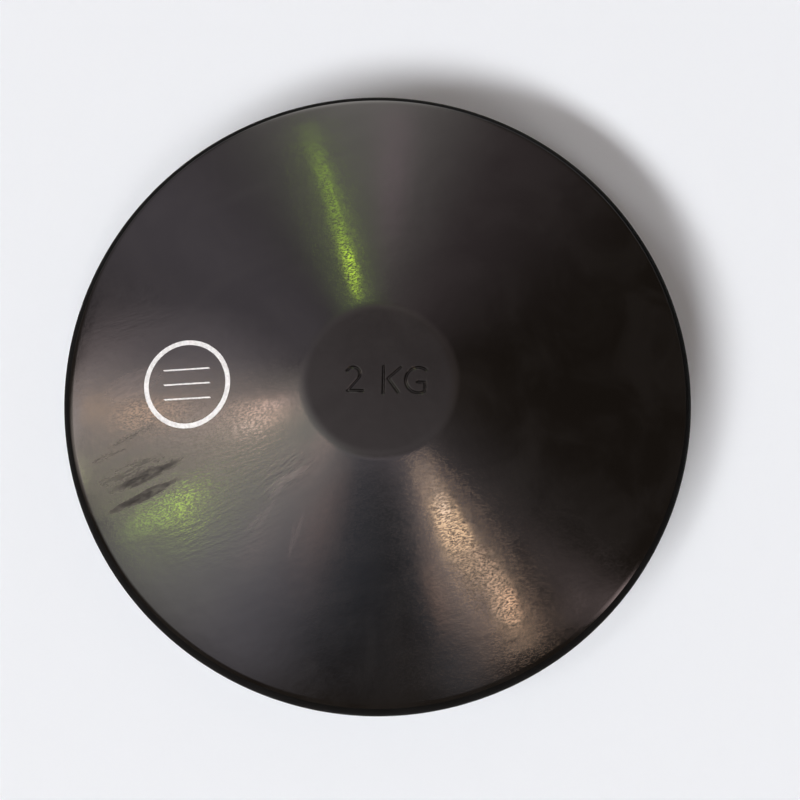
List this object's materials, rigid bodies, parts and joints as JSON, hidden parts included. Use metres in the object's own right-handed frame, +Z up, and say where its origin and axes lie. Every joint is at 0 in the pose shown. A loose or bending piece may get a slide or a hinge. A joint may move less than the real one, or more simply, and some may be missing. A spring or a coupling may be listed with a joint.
{
  "type": "discus",
  "caption": "Round throwing disc of black rubber with flat centres, straight tapered faces and a rounded rim, moulded over a keyed steel core ring.",
  "frame": {"origin": "centre of the lower flat, on the surface that the discus rests on", "axes": "+Z up, along the axis that the discus is round about; +X to the right of someone reading the mark on the upper flat; +Y away from them"},
  "size_m": [0.22, 0.22, 0.045],
  "materials": {
    "rubber": "satin",
    "core_steel": "satin"
  },
  "bodies": {
    "root": {"upper_rubber_half": "rubber", "lower_rubber_half": "rubber", "steel_core_ring": "core_steel"}
  },
  "joints": []
}
